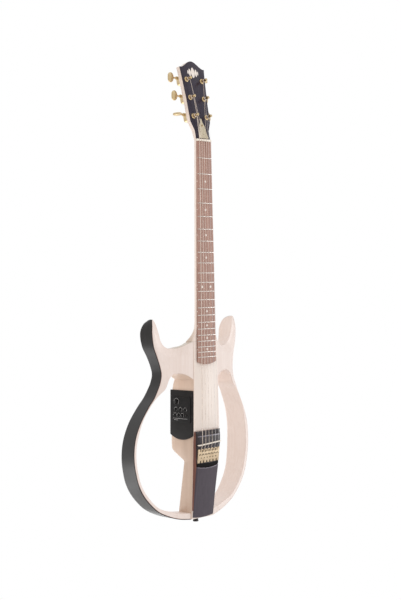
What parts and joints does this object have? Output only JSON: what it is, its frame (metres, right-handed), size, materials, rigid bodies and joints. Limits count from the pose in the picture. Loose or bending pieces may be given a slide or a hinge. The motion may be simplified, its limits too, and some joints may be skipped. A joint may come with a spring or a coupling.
{
  "type": "silent guitar",
  "caption": "Frame-bodied silent guitar: slim electronics box, open bent side frames with horns, long fretted neck, geared tuners and a side preamp panel.",
  "frame": {"origin": "centre of the nut's fingerboard edge, on the plane that touches the fingerboard's crown: where a wall hanger's yoke carries the neck", "axes": "+Z along the neck towards the headstock, +X towards the thin treble strings, +Y towards the back of the guitar"},
  "size_m": [0.362, 0.102, 1.006],
  "materials": {
    "maple": "pale maple under a thin satin lacquer",
    "spruce": "straight-grained spruce, satin lacquer",
    "black_laminate": "black-dyed laminate, satin lacquer",
    "head_veneer": "black-dyed veneer, gloss lacquer",
    "rosewood": "oiled rosewood, open pores",
    "red_brown_wood": "red-brown hardwood, satin",
    "ebony": "black hardwood, satin",
    "bone": "polished bone",
    "gold_plate": "gold plating, polished",
    "satin_gold": "satin gold plating",
    "steel": "plain steel",
    "bronze_wire": "bronze winding",
    "plain_wire": "bright plain steel wire",
    "pickup_foil": "braided foil",
    "panel_plastic": "matte black",
    "case_plastic": "matte black",
    "knob_plastic": "satin black",
    "battery_jacket": "plain grey jacket, no lettering",
    "lead_sheath": "black sheath",
    "black_metal": "black-plated metal"
  },
  "bodies": {
    "guitar": {"neck": "maple", "center_body": "maple", "bass_wing": "maple", "treble_wing": "maple", "back_cover": "maple", "soundboard": "spruce", "bass_side_band": "black_laminate", "treble_side_band": "black_laminate", "headstock_veneer": "head_veneer", "fingerboard": "rosewood", "bridge_base": "red_brown_wood", "bridge": "ebony", "tail_cover": "ebony", "nut": "bone", "saddle": "bone", "string_plate": "gold_plate", "strap_button": "gold_plate", "truss_cover_screw": "gold_plate", "truss_rod_cover": "satin_gold", "truss_rod": "steel", "piezo_pickup": "pickup_foil", "string_1": "plain_wire", "string_2": "plain_wire", "string_3": "bronze_wire", "string_4": "bronze_wire", "string_5": "bronze_wire", "string_6": "bronze_wire", "preamp_panel": "panel_plastic", "preamp_case": "case_plastic", "battery": "battery_jacket", "output_lead": "lead_sheath", "end_pin_jack": "black_metal", "tuner_housing_bass_1": "gold_plate", "tuner_housing_bass_2": "gold_plate", "tuner_housing_bass_3": "gold_plate", "tuner_housing_treble_1": "gold_plate", "tuner_housing_treble_2": "gold_plate", "tuner_housing_treble_3": "gold_plate"},
    "key_bass_1": {"tuner_key_bass_1": "gold_plate"},
    "key_bass_2": {"tuner_key_bass_2": "gold_plate"},
    "key_bass_3": {"tuner_key_bass_3": "gold_plate"},
    "key_treble_1": {"tuner_key_treble_1": "gold_plate"},
    "key_treble_2": {"tuner_key_treble_2": "gold_plate"},
    "key_treble_3": {"tuner_key_treble_3": "gold_plate"},
    "post_bass_1": {"tuner_post_bass_1": "gold_plate"},
    "post_bass_2": {"tuner_post_bass_2": "gold_plate"},
    "post_bass_3": {"tuner_post_bass_3": "gold_plate"},
    "post_treble_1": {"tuner_post_treble_1": "gold_plate"},
    "post_treble_2": {"tuner_post_treble_2": "gold_plate"},
    "post_treble_3": {"tuner_post_treble_3": "gold_plate"},
    "volume": {"volume_knob": "knob_plastic"},
    "bass": {"bass_knob": "knob_plastic"},
    "middle": {"middle_knob": "knob_plastic"},
    "treble": {"treble_knob": "knob_plastic"},
    "presence": {"presence_knob": "knob_plastic"},
    "notch": {"notch_knob": "knob_plastic"},
    "blend": {"blend_knob": "knob_plastic"},
    "phase": {"phase_button": "knob_plastic"},
    "door": {"battery_door": "panel_plastic"},
    "rod_nut": {"truss_rod_nut": "steel"}
  },
  "joints": [
    {"name": "key_bass_1_turn", "type": "hinge", "parent": "guitar", "child": "key_bass_1", "pos_m": [-0.0205, 0.03434, 0.05826], "axis": [1, 0, 0], "continuous": true},
    {"name": "key_bass_2_turn", "type": "hinge", "parent": "guitar", "child": "key_bass_2", "pos_m": [-0.0214, 0.04248, 0.09896], "axis": [1, 0, 0], "continuous": true},
    {"name": "key_bass_3_turn", "type": "hinge", "parent": "guitar", "child": "key_bass_3", "pos_m": [-0.024, 0.05044, 0.13876], "axis": [1, 0, 0], "continuous": true},
    {"name": "key_treble_1_turn", "type": "hinge", "parent": "guitar", "child": "key_treble_1", "pos_m": [0.0205, 0.03434, 0.05826], "axis": [1, 0, 0], "continuous": true},
    {"name": "key_treble_2_turn", "type": "hinge", "parent": "guitar", "child": "key_treble_2", "pos_m": [0.0214, 0.04248, 0.09896], "axis": [1, 0, 0], "continuous": true},
    {"name": "key_treble_3_turn", "type": "hinge", "parent": "guitar", "child": "key_treble_3", "pos_m": [0.024, 0.05044, 0.13876], "axis": [1, 0, 0], "continuous": true},
    {"name": "post_bass_1_turn", "type": "hinge", "parent": "guitar", "child": "post_bass_1", "pos_m": [-0.0205, 0.0133, 0.054], "axis": [0, -0.9806, 0.1961], "continuous": true},
    {"name": "post_bass_2_turn", "type": "hinge", "parent": "guitar", "child": "post_bass_2", "pos_m": [-0.0214, 0.02144, 0.0947], "axis": [0, -0.9806, 0.1961], "continuous": true},
    {"name": "post_bass_3_turn", "type": "hinge", "parent": "guitar", "child": "post_bass_3", "pos_m": [-0.024, 0.0294, 0.1345], "axis": [0, -0.9806, 0.1961], "continuous": true},
    {"name": "post_treble_1_turn", "type": "hinge", "parent": "guitar", "child": "post_treble_1", "pos_m": [0.0205, 0.0133, 0.054], "axis": [0, -0.9806, 0.1961], "continuous": true},
    {"name": "post_treble_2_turn", "type": "hinge", "parent": "guitar", "child": "post_treble_2", "pos_m": [0.0214, 0.02144, 0.0947], "axis": [0, -0.9806, 0.1961], "continuous": true},
    {"name": "post_treble_3_turn", "type": "hinge", "parent": "guitar", "child": "post_treble_3", "pos_m": [0.024, 0.0294, 0.1345], "axis": [0, -0.9806, 0.1961], "continuous": true},
    {"name": "volume_turn", "type": "hinge", "parent": "guitar", "child": "volume", "pos_m": [-0.03928, 0.054, -0.563], "axis": [-0.9998, 0, 0.0221], "range_deg": [-140, 140]},
    {"name": "bass_turn", "type": "hinge", "parent": "guitar", "child": "bass", "pos_m": [-0.03964, 0.0555, -0.5795], "axis": [-0.9998, 0, 0.0221], "range_deg": [-140, 140]},
    {"name": "middle_turn", "type": "hinge", "parent": "guitar", "child": "middle", "pos_m": [-0.03964, 0.0415, -0.5795], "axis": [-0.9998, 0, 0.0221], "range_deg": [-140, 140]},
    {"name": "treble_turn", "type": "hinge", "parent": "guitar", "child": "treble", "pos_m": [-0.03964, 0.0275, -0.5795], "axis": [-0.9998, 0, 0.0221], "range_deg": [-140, 140]},
    {"name": "presence_turn", "type": "hinge", "parent": "guitar", "child": "presence", "pos_m": [-0.03992, 0.0575, -0.592], "axis": [-0.9998, 0, 0.0221], "range_deg": [-140, 140]},
    {"name": "notch_turn", "type": "hinge", "parent": "guitar", "child": "notch", "pos_m": [-0.03992, 0.0465, -0.592], "axis": [-0.9998, 0, 0.0221], "range_deg": [-140, 140]},
    {"name": "blend_turn", "type": "hinge", "parent": "guitar", "child": "blend", "pos_m": [-0.03992, 0.0355, -0.592], "axis": [-0.9998, 0, 0.0221], "range_deg": [-140, 140]},
    {"name": "phase_press", "type": "slide", "parent": "guitar", "child": "phase", "axis": [0.9998, 0, -0.0221], "range_m": [0, 0.0012], "stiffness_N_per_m": 200},
    {"name": "door_hinge", "type": "hinge", "parent": "guitar", "child": "door", "pos_m": [0, 0.0743, -0.5716], "axis": [1, 0, 0], "range_deg": [0, 95]},
    {"name": "rod_nut_turn", "type": "hinge", "parent": "guitar", "child": "rod_nut", "pos_m": [0, 0.01, 0.0058], "axis": [0, 0, 1], "range_deg": [-180, 180]}
  ],
  "couplings": [
    {"joint": "post_bass_1_turn", "follows": "key_bass_1_turn", "ratio": 0.066667},
    {"joint": "post_bass_2_turn", "follows": "key_bass_2_turn", "ratio": 0.066667},
    {"joint": "post_bass_3_turn", "follows": "key_bass_3_turn", "ratio": 0.066667},
    {"joint": "post_treble_1_turn", "follows": "key_treble_1_turn", "ratio": -0.066667},
    {"joint": "post_treble_2_turn", "follows": "key_treble_2_turn", "ratio": -0.066667},
    {"joint": "post_treble_3_turn", "follows": "key_treble_3_turn", "ratio": -0.066667}
  ]
}
